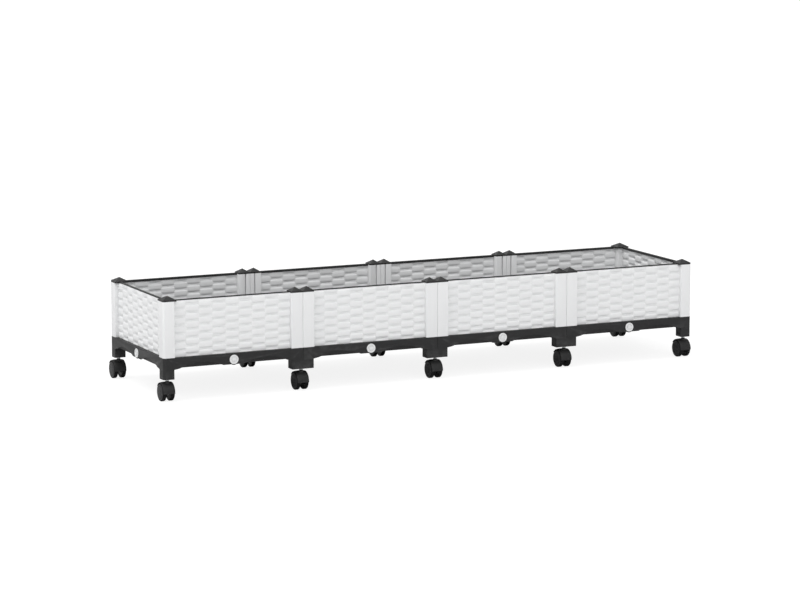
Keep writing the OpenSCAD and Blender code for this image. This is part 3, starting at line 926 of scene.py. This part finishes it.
@dataclass(frozen=True)
class DrainFloor:
    """The rule of a drain floor: chamfered holes on a square grid, and tubes below that carry it.

    The outline is the mesh that the tree starts from, with the floor's upper face at Z = 0.
    """

    margin: float = 21 * MM
    notch: float = 14.4 * MM
    thickness: float = 3 * MM
    hole_pitch: float = 36 * MM
    holes: int = 9
    hole_r: float = 2.5 * MM
    chamfer: float = 0.5 * MM
    support_pitch: float = 120 * MM
    supports: int = 3
    support_r: float = 9 * MM
    support_t: float = 2 * MM
    cuts: int = 24
    weld: float = 0.005 * MM

    def outline(self, width: float, depth: float) -> bpy.types.Mesh:
        """Draws the floor's outline, a rectangle with a square notch at each corner.

        Args:
            width: its width along X.
            depth: its depth along Y.

        Returns:
            A mesh of edges.
        """
        w, d, n = width / 2, depth / 2, self.notch
        quarter = [(w - n, -d), (w - n, n - d), (w, n - d)]
        corners = quarter + [(x, -y) for x, y in reversed(quarter)]
        corners += [(-x, -y) for x, y in corners]
        count = len(corners)
        mesh = bpy.data.meshes.new("floor_outline")
        mesh.from_pydata([(x, y, 0) for x, y in corners], [(i, (i + 1) % count) for i in range(count)], [])
        return mesh

    def tree(self) -> bpy.types.NodeTree:
        """Builds the Geometry Nodes tree that makes one floor from its outline.

        Returns:
            The tree, with the floor's sizes as its inputs.
        """
        graph = Graph(bpy.data.node_groups.new("drain_floor", "GeometryNodeTree"))
        graph.inlets("NodeSocketGeometry", {"Outline": None})
        graph.inlets("NodeSocketFloat", {
            "Thickness": self.thickness, "Hole pitch": self.hole_pitch, "Hole radius": self.hole_r,
            "Chamfer": self.chamfer, "Support pitch": self.support_pitch,
            "Support radius": self.support_r, "Support wall": self.support_t, "Support height": None})
        graph.inlets("NodeSocketInt", {
            "Holes a side": self.holes, "Supports a side": self.supports, "Cuts": self.cuts})
        graph.inlets("NodeSocketMaterial", {"Material": None})
        given = graph.node("NodeGroupInput")
        thickness, radius, chamfer = given.out("Thickness"), given.out("Hole radius"), given.out("Chamfer")
        cuts = given.out("Cuts")

        def grid(count: Wire, pitch: Wire) -> Wire:
            """A square grid of points."""
            span = (count - 1) * pitch
            return graph.node("GeometryNodeMeshGrid", inputs={
                "Size X": span, "Size Y": span, "Vertices X": count, "Vertices Y": count})

        def circle(size: Wire) -> Wire:
            """A circle round the origin."""
            return graph.node("GeometryNodeCurvePrimitiveCircle", inputs={"Resolution": cuts, "Radius": size})

        def tube(low: Wire, high: Wire, length: Wire, base: Wire | Number) -> Wire:
            """The side of a cone, from its lower and upper radius, its length and the height of its base."""
            side = graph.node("GeometryNodeMeshCone", {"fill_type": "NONE"}, {
                "Vertices": cuts, "Radius Top": high, "Radius Bottom": low, "Depth": length})
            return graph.raised(side, base)

        def spread(shape: Wire, points: Wire) -> Wire:
            """A copy of a shape at each of the points."""
            copies = graph.node("GeometryNodeInstanceOnPoints", inputs={"Points": points, "Instance": shape})
            return graph.node("GeometryNodeRealizeInstances", inputs={0: copies})

        # The plate: both faces with the mouths of the holes left out, the rim and the holes' walls
        outline = given.out("Outline")
        points = grid(given.out("Holes a side"), given.out("Hole pitch"))
        mouth = radius + chamfer
        edge = graph.node("GeometryNodeMeshToCurve", inputs={0: outline})
        mouths = spread(circle(mouth), points)
        face = graph.node("GeometryNodeFillCurve", inputs={0: graph.joined(edge, mouths)})
        down = graph.node("ShaderNodeCombineXYZ", inputs={2: -1.0})
        rim = graph.node("GeometryNodeExtrudeMesh", {"mode": "EDGES"}, {
            "Mesh": outline, "Offset": down, "Offset Scale": thickness})
        wall = graph.joined(
            tube(radius, mouth, chamfer, -chamfer),
            tube(radius, radius, thickness - chamfer * 2, chamfer - thickness),
            tube(mouth, radius, chamfer, -thickness))
        plate = graph.joined(face, graph.raised(face, -thickness), rim, spread(wall, points))
        plate = graph.node("GeometryNodeMergeByDistance", inputs={0: plate, "Distance": self.weld})

        # The tubes that carry it reach a little into the plate
        support, length = given.out("Support radius"), given.out("Support height") + chamfer
        inner = support - given.out("Support wall")
        end = graph.node("GeometryNodeFillCurve", inputs={0: graph.joined(circle(support), circle(inner))})
        base = chamfer - thickness - length
        post = graph.joined(
            end, graph.raised(end, length),
            tube(support, support, length, 0.0), tube(inner, inner, length, 0.0))
        post = graph.node("GeometryNodeMergeByDistance", inputs={0: post, "Distance": self.weld})
        spots = grid(given.out("Supports a side"), given.out("Support pitch"))
        posts = spread(graph.raised(post, base), spots)
        real = graph.node("GeometryNodeRealizeInstances", inputs={0: graph.joined(plate, posts)})
        dressed = graph.node("GeometryNodeSetMaterial", inputs={0: real, "Material": given.out("Material")})
        graph.outlet(dressed)
        return graph.tree

    def build(self) -> None:
        """Grows the floor of each tray and makes the four one piece."""
        low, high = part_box("drain_floors")
        tree = self.tree()
        floors = Shape()
        for k in MODULES:
            tray_low, tray_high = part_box(f"base_tray_{k}")
            size = tray_high - tray_low
            values = {"Support height": high.z - low.z - self.thickness, "Material": Finish.BLACK.material}
            plate = grown(tree, values, self.outline(size.x - 2 * self.margin, size.y - 2 * self.margin))
            middle = (tray_low + tray_high) / 2
            plate.transform(at(middle.x, middle.y, high.z))
            floors.mesh.from_mesh(plate)
        bmesh.ops.recalc_face_normals(floors.mesh, faces=floors.mesh.faces)
        floors.piece("drain_floor_mouldings", "planter", Finish.BLACK, ["drain_floors"])


@dataclass
class Base:
    """The black base: four trays, their drain floors and plugs, and the feet under the legs."""

    tray_soft: float = 0.6 * MM
    foot_soft: float = 0.9 * MM
    plug_r: float = 12.5 * MM
    plug_t: float = 3 * MM
    plug_sink: float = 1.15 * MM
    plug_rim: float = 4 * MM
    groove: float = 3 * MM
    groove_deep: float = 2 * MM
    dish: float = 0.3 * MM
    dish_rise: float = 0.15 * MM
    rim_round: float = 0.9 * MM
    lip_round: float = 0.3 * MM
    rim_edge: float = 0.2 * MM
    shank_r: float = 4.95 * MM
    shank: float = 13.5 * MM
    shank_edge: float = 0.5 * MM
    cuts: int = 72

    def build(self) -> None:
        """Builds the trays, the floors, the plugs and the feet."""
        for k in MODULES:
            Shape.copied(f"base_tray_{k}").softened(self.tray_soft).piece(
                f"tray_moulding_{k}", "planter", Finish.BLACK, [f"base_tray_{k}"])
        Shape.copied("caster_feet").softened(self.foot_soft, 3).piece(
            "foot_mouldings", "planter", Finish.BLACK, ["caster_feet"])
        DrainFloor().build()
        self._keep("caster_sleeves")
        plug = self._plug()
        for side in Side:
            names = [f"{side.name.lower()}_{k}" for k in MODULES]
            for name in names if side in (Side.FRONT, Side.BACK) else [side.name.lower()]:
                self._place_plug(plug, name, side)

    @staticmethod
    def _keep(node: str) -> None:
        """Gives a node that stays as it is its finish."""
        item = frame["nodes"][node]
        item.data.materials.clear()
        item.data.materials.append(Finish.BLACK.material)
        LOG.info("%s: kept, with a finish", node)

    def _plug(self) -> Shape:
        """Turns a drain plug about Z, with its outer face up and the tray's face at 0.

        Returns:
            The plug.
        """
        top = self.plug_t - self.plug_sink
        grip = self.plug_r - self.plug_rim
        button = grip - self.groove
        floor = top - self.groove_deep
        middle = top - self.dish
        lip = self.lip_round
        profile = [(0, -self.shank), (self.shank_r - self.shank_edge, -self.shank)]
        profile += [(self.shank_r, -self.shank + self.shank_edge), (self.shank_r, -self.plug_sink)]
        profile += [(self.plug_r - self.rim_edge, -self.plug_sink)]
        profile += [(self.plug_r, -self.plug_sink + self.rim_edge)]
        profile += arc((self.plug_r - self.rim_round, top - self.rim_round), self.rim_round, 0, 90, 6)
        profile += arc((grip + lip, top - lip), lip, 90, 180, 3)
        profile += [(grip, floor), (button, floor)]
        profile += arc((button - lip, middle - lip), lip, 0, 90, 3)
        profile += [(0, middle + self.dish_rise)]
        return Shape.lathed(profile, self.cuts)

    @staticmethod
    def _place_plug(plug: Shape, name: str, side: Side) -> None:
        """Puts a plug into its drain hole.

        Args:
            plug: the plug about Z.
            name: which plug, as in its node's name.
            side: the side that it closes.
        """
        low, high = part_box(f"drain_plug_{name}")
        middle = (low + high) / 2
        tray_low, tray_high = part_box("base_tray_1")
        row_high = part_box("base_tray_4")[1]
        faces = {Side.FRONT: tray_low.y, Side.BACK: tray_high.y}
        faces |= {Side.LEFT: tray_low.x, Side.RIGHT: row_high.x}
        spot = Vector(middle)
        if side in (Side.FRONT, Side.BACK):
            spot.y = faces[side]
        else:
            spot.x = faces[side]
        upright = side.turn @ turned(90, "X")
        plug.placed(Matrix.Translation(spot) @ upright).piece(
            f"plug_{name}", f"plug_{name}", Finish.PALE, [f"drain_plug_{name}"])


# Casters


@dataclass
class Caster:
    """A twin-wheel caster about its stem, on the floor: hood, stem, axle and two wheels."""

    # The wheels: a disc with a domed, ringed face and a soft tread round it
    wheel_r: float = 24 * MM
    wheel_w: float = 12 * MM
    wheel_gap: float = 12.5 * MM
    wheel_show: float = 1.5 * MM
    dome: float = 1.8 * MM
    rings: tuple[Point, ...] = ((17.6 * MM, 16.4 * MM), (8.6 * MM, 7.4 * MM))
    ring_deep: float = 0.45 * MM
    ring_flank: float = 0.3 * MM
    face_step: float = 2 * MM
    hub_r: float = 6.5 * MM
    hub_play: float = 0.3 * MM
    hub_foot: float = 0.6 * MM
    hub_slope: float = 1.2 * MM
    dish_deep: float = 1.4 * MM
    rim_slope: float = 1.2 * MM
    rim_land: float = 1.3 * MM
    tread_r: float = 2 * MM
    tread_t: float = 2.5 * MM
    tread_inset: float = 0.1 * MM
    wheel_cuts: int = 96

    # The hood and the web, whose spans are angles from +Y over the top
    trail: float = 9.5 * MM
    hood_gap: float = 1.2 * MM
    hood_t: float = 2.3 * MM
    hood_fall: float = 1.3 * MM
    hood_span: Point = (35.0, 184.0)
    rim_round: float = 0.9 * MM
    web_play: float = 1.2 * MM
    web_span: Point = (42.0, 181.0)
    web_tuck: float = 36.0
    soft: float = 0.5 * MM
    hood_cuts: int = 44
    web_cuts: int = 40

    # The seat of the stem, the stem with its collar, and the axle
    seat_r: float = 6.5 * MM
    seat_foot_r: float = 4.03 * MM
    seat_h: float = 5 * MM
    seat_taper: float = 2 * MM
    seat_rise: float = 4 * MM
    seat_tip: float = 4.7 * MM
    seat_edge: float = 0.5 * MM
    stem_r: float = 3.5 * MM
    stem_neck: float = 8.5 * MM
    stem_end: float = 19.7 * MM
    stem_edge: float = 0.3 * MM
    collar_r: float = 5.5 * MM
    collar_t: float = 1.6 * MM
    collar_under: float = 1.5 * MM
    axle_r: float = 3 * MM
    axle_end: float = 2 * MM
    turned_edge: float = 0.4 * MM
    play: float = 0.05 * MM
    seat_cuts: int = 48
    stem_cuts: int = 40
    axle_cuts: int = 32

    @property
    def hood_r(self) -> float:
        """Outer radius of the hood."""
        return self.wheel_r + self.hood_gap + self.hood_t

    @property
    def foot_z(self) -> float:
        """Height of the feet's lower face."""
        return self.wheel_r + self.hood_r + self.stem_neck

    def build(self) -> None:
        """Builds one caster and puts copies of its pieces under every foot."""
        parts = {"hood": self._frame(), "stem": self._stem(), "axle": self._axle(),
                 "disc": self._disc(), "tread": self._tread()}
        for side in ("front", "back"):
            for k in STEMS:
                self._place(side, k, parts)

    def _hood_section(self) -> list[Point]:
        """The hood's closed section as (radius, x), crowned across and rounded at its rims.

        Returns:
            The points.
        """
        half = self.wheel_gap / 2 + self.wheel_w - self.wheel_show
        rim = self.rim_round
        steps = 10
        outer = []
        for i in range(-steps, steps + 1):
            x = (half - rim) * i / steps
            outer.append((self.hood_r - self.hood_fall * abs(i / steps) ** 3, x))
        edge_r = self.hood_r - self.hood_fall
        right = arc((edge_r - rim, half - rim), rim, 0, 90, 4)[1:]
        inner_r = self.hood_r - self.hood_t
        left = [(r, -x) for r, x in reversed(right)]
        return outer + right + [(inner_r, half), (inner_r, -half)] + left

    def _frame(self) -> Shape:
        """Moulds the hood, the web between the wheels and the seat of the stem in one.

        Returns:
            The frame, with the stem on Z and the floor at 0.
        """
        hub = at(0, self.trail, self.wheel_r)
        hood = Shape.swept(self._hood_section(), *self.hood_span, self.hood_cuts)
        hood = hood.softened(self.soft, 2, sharp=50.0)
        web_half = self.wheel_gap / 2 - self.web_play
        web_r = self.hood_r - self.hood_t / 2
        start, end = self.web_span
        crown = arc((0, 0), web_r, start, end, self.web_cuts)
        round_hub = arc((0, 0), self.hub_r, end + self.web_tuck, 360 + start - self.web_tuck, 12)
        web = Shape.drawn_out(crown + round_hub, -web_half, web_half).softened(self.soft, 2)
        crest = self.wheel_r + self.hood_r
        tip = crest + self.seat_rise
        bottom = crest - self.seat_h
        edge = self.seat_edge
        profile = [(0, bottom), (self.seat_foot_r, bottom), (self.seat_r, bottom + self.seat_taper)]
        profile += [(self.seat_r, crest - edge), (self.seat_r - 0.3 * edge, crest + edge)]
        profile += arc((self.seat_tip - edge, tip - edge), edge, 15, 90, 4) + [(0, tip)]
        seat = Shape.lathed(profile, self.seat_cuts)
        return hood.fused(web).placed(hub).fused(seat)

    def _stem(self) -> Shape:
        """Turns the stem with its collar.

        Returns:
            The stem on Z.
        """
        low = self.wheel_r + self.hood_r - self.seat_h + self.play
        top = self.foot_z + self.stem_end
        collar_top = self.foot_z - self.collar_under
        collar = collar_top - self.collar_t
        r, c, b = self.stem_r, self.collar_r, self.stem_edge
        profile = [(0, low), (r - b, low), (r, low + b), (r, collar), (c - b, collar), (c, collar + b)]
        profile += [(c, collar_top - b), (c - b, collar_top), (r, collar_top)]
        profile += [(r, top - 2 * b), (r - 2 * b, top), (0, top)]
        return Shape.lathed(profile, self.stem_cuts)

    def _axle(self) -> Shape:
        """Turns the axle between the wheels.

        Returns:
            The axle on X, round the middle.
        """
        half = self.wheel_gap / 2 + self.wheel_w - self.axle_end
        r, b = self.axle_r, self.turned_edge
        profile = [(0, -half), (r - b, -half), (r, b - half), (r, half - b), (r - b, half), (0, half)]
        return Shape.lathed(profile, self.axle_cuts).placed(turned(90, "Y"))

    def _face(self, radius: float) -> float:
        """Height of a wheel's domed outer face at a radius."""
        dome_r = (self.wheel_r ** 2 + self.dome ** 2) / (2 * self.dome)
        return self.wheel_w - dome_r + math.sqrt(dome_r ** 2 - radius ** 2)

    def _disc(self) -> Shape:
        """Turns a wheel's disc, whose outer face looks along +X and whose inner face is at x = 0.

        Returns:
            The disc.
        """
        hub = self.web_play - self.hub_play
        bore = self.axle_r + self.play
        blind = self.wheel_w - self.axle_end + self.hub_play
        rim = self.wheel_r - self.tread_t
        b, deep, flank = self.turned_edge, self.dish_deep, self.ring_flank
        profile = [(0, blind), (bore, blind), (bore, -hub), (self.hub_r - b, -hub), (self.hub_r, -hub + b)]
        profile += [(self.hub_r, self.hub_foot), (self.hub_r + self.hub_slope, deep)]
        profile += [(rim - self.rim_land - self.rim_slope, deep), (rim - self.rim_land, 0)]
        profile += [(rim - b, 0), (rim, b)]
        profile += [(rim, self._face(rim) - b), (rim - b, self._face(rim))]
        for outer, inner in self.rings:
            profile += [(outer, self._face(outer)), (outer - flank, self._face(outer) - self.ring_deep)]
            profile += [(inner + flank, self._face(inner) - self.ring_deep), (inner, self._face(inner))]
            profile += [(q, self._face(q)) for q in (inner - self.face_step, inner - 2 * self.face_step)]
        profile += [(0, self._face(0))]
        return Shape.lathed(profile, self.wheel_cuts).placed(turned(90, "Y"))

    def _tread(self) -> Shape:
        """Turns the soft tread round a disc.

        Returns:
            The tread, in the disc's place.
        """
        r, t = self.wheel_r, self.tread_r
        inner = r - self.tread_t - self.play
        outer = self._face(r - self.tread_t)
        section = [(inner, self.tread_inset)] + arc((r - t, t + self.tread_inset), t, -90, 0, 8)
        section += arc((r - t, outer - t), t, 0, 90, 8) + [(inner, outer)]
        return Shape.lathed(section, self.wheel_cuts, ring=True).placed(turned(90, "Y"))

    def _place(self, side: str, k: int, parts: dict[str, Shape]) -> None:
        """Puts the pieces of one caster at its stem.

        Args:
            side: front or back.
            k: its place in the row, from the left.
            parts: its shapes, by name.
        """
        name = f"caster_{side}_{k}"
        joint = next(j for j in frame["joints"] if j["name"] == f"{name}_swivel")
        spot = at(joint["pos_m"][0], joint["pos_m"][1], 0)
        hub = spot @ at(0, self.trail, self.wheel_r)
        parts["hood"].placed(spot).piece(f"{name}_hood", name, Finish.BLACK, [f"{name}_frame"])
        parts["stem"].placed(spot).piece(f"{name}_stem", name, Finish.STEEL)
        parts["axle"].placed(hub).piece(f"{name}_axle", name, Finish.STEEL)
        for hand, turn in (("left", 180), ("right", 0)):
            place = hub @ turned(turn, "Z") @ at(self.wheel_gap / 2, 0, 0)
            body = f"wheel_{side}_{k}_{hand}"
            wheel = f"{name}_wheel_{hand}"
            parts["disc"].placed(place).piece(f"{name}_disc_{hand}", body, Finish.WHEEL, [wheel])
            # The treads take the near-black finish, which also paints in the shade under the hood.
            parts["tread"].placed(place).piece(f"{name}_tread_{hand}", body, Finish.TREAD)


# Studio


@dataclass(frozen=True)
class Lamp:
    """A square lamp that looks at the row's middle, placed by its direction from there, in degrees."""

    name: str
    azimuth: float
    elevation: float
    power: float
    distance: float = 24.0
    width: float = 16.0

    def hang(self, target: Vector) -> None:
        """Hangs the lamp.

        Args:
            target: what it looks at.
        """
        data = bpy.data.lights.new(self.name, "AREA")
        data.shape = "SQUARE"
        data.size = self.width
        data.energy = self.power
        lamp = linked(self.name, data)
        a, e = math.radians(self.azimuth), math.radians(self.elevation)
        away = Vector((math.sin(a) * math.cos(e), -math.cos(a) * math.cos(e), math.sin(e)))
        lamp.location = target + away * self.distance
        lamp.rotation_euler = (-away).to_track_quat("-Z", "Y").to_euler()


@dataclass
class Studio:
    """A pale floor, soft light and a camera where the photograph was taken from."""

    camera_place: tuple[float, float, float] = (-3.6751, -7.7513, 1.5653)
    camera_down: float = 9.1136
    camera_left: float = -25.2746
    lens: float = 140.244
    sensor: float = 36.0
    sight: float = 200.0
    target: tuple[float, float, float] = (0.0, 0.0, 0.1)
    floor_half: float = 30.0
    floor_grey: float = 0.8
    floor_glow: float = 1.2
    glow_share: float = 0.72
    sky: float = 0.58
    sky_mirrored: float = 0.5
    lamps: tuple[Lamp, ...] = (
        Lamp("front", azimuth=-8.0, elevation=36.0, power=1350.0),
        Lamp("left", azimuth=-80.0, elevation=62.0, power=2950.0),
        Lamp("right", azimuth=84.0, elevation=30.0, power=300.0),
        Lamp("back", azimuth=172.0, elevation=35.0, power=700.0),
    )

    def build(self) -> None:
        """Builds the floor, the light and the camera."""
        self._floor()
        self._sky()
        for lamp in self.lamps:
            lamp.hang(Vector(self.target))
        self._camera()
        bpy.context.scene.view_settings.view_transform = "Standard"

    def _floor(self) -> None:
        """Lays a pale floor that shows the camera a near-white with the planter's soft shadow."""
        mesh = bpy.data.meshes.new("floor")
        s = self.floor_half
        mesh.from_pydata([(-s, -s, 0), (s, -s, 0), (s, s, 0), (-s, s, 0)], [], [(0, 1, 2, 3)])
        floor = linked("floor", mesh)
        material, graph = blank_material("floor_white")
        seen = graph.node("ShaderNodeLightPath", output="Is Camera Ray")
        matt = graph.node("ShaderNodeBsdfDiffuse", inputs={"Color": (*(self.floor_grey,) * 3, 1.0)})
        glow = graph.node("ShaderNodeEmission", inputs={"Color": (1, 1, 1, 1), "Strength": self.floor_glow})
        surface = graph.node("ShaderNodeMixShader", inputs={0: seen * self.glow_share, 1: matt, 2: glow})
        graph.node("ShaderNodeOutputMaterial", inputs={"Surface": surface})
        mesh.materials.append(material)

    def _sky(self) -> None:
        """Gives an even sky, pure white to the camera and calm in reflections."""
        world = bpy.data.worlds.new("studio")
        bpy.context.scene.world = world
        world.use_nodes = True
        world.node_tree.nodes.clear()
        graph = Graph(world.node_tree)
        path = graph.node("ShaderNodeLightPath", output="Is Camera Ray")
        mirrored = path.out("Is Glossy Ray")
        strength = self.sky + (1 - self.sky) * path + (self.sky_mirrored - self.sky) * mirrored
        light = graph.node("ShaderNodeBackground", inputs={"Color": (1, 1, 1, 1), "Strength": strength})
        graph.node("ShaderNodeOutputWorld", inputs={"Surface": light})

    def _camera(self) -> None:
        """Sets the camera where the photograph was taken from."""
        data = bpy.data.cameras.new("camera")
        data.lens = self.lens
        data.sensor_width = self.sensor
        data.clip_end = self.sight
        camera = linked("camera", data)
        camera.location = self.camera_place
        camera.rotation_euler = (math.radians(90 - self.camera_down), 0, math.radians(self.camera_left))
        bpy.context.scene.camera = camera


def main() -> None:
    """Builds the planter and its studio."""
    logging.basicConfig(level=logging.INFO, format="%(name)s %(message)s")
    for part in (Base(), Wall(), Caster(), Studio()):
        LOG.info("building %s", type(part).__name__)
        part.build()


if __name__ == "__main__":
    main()
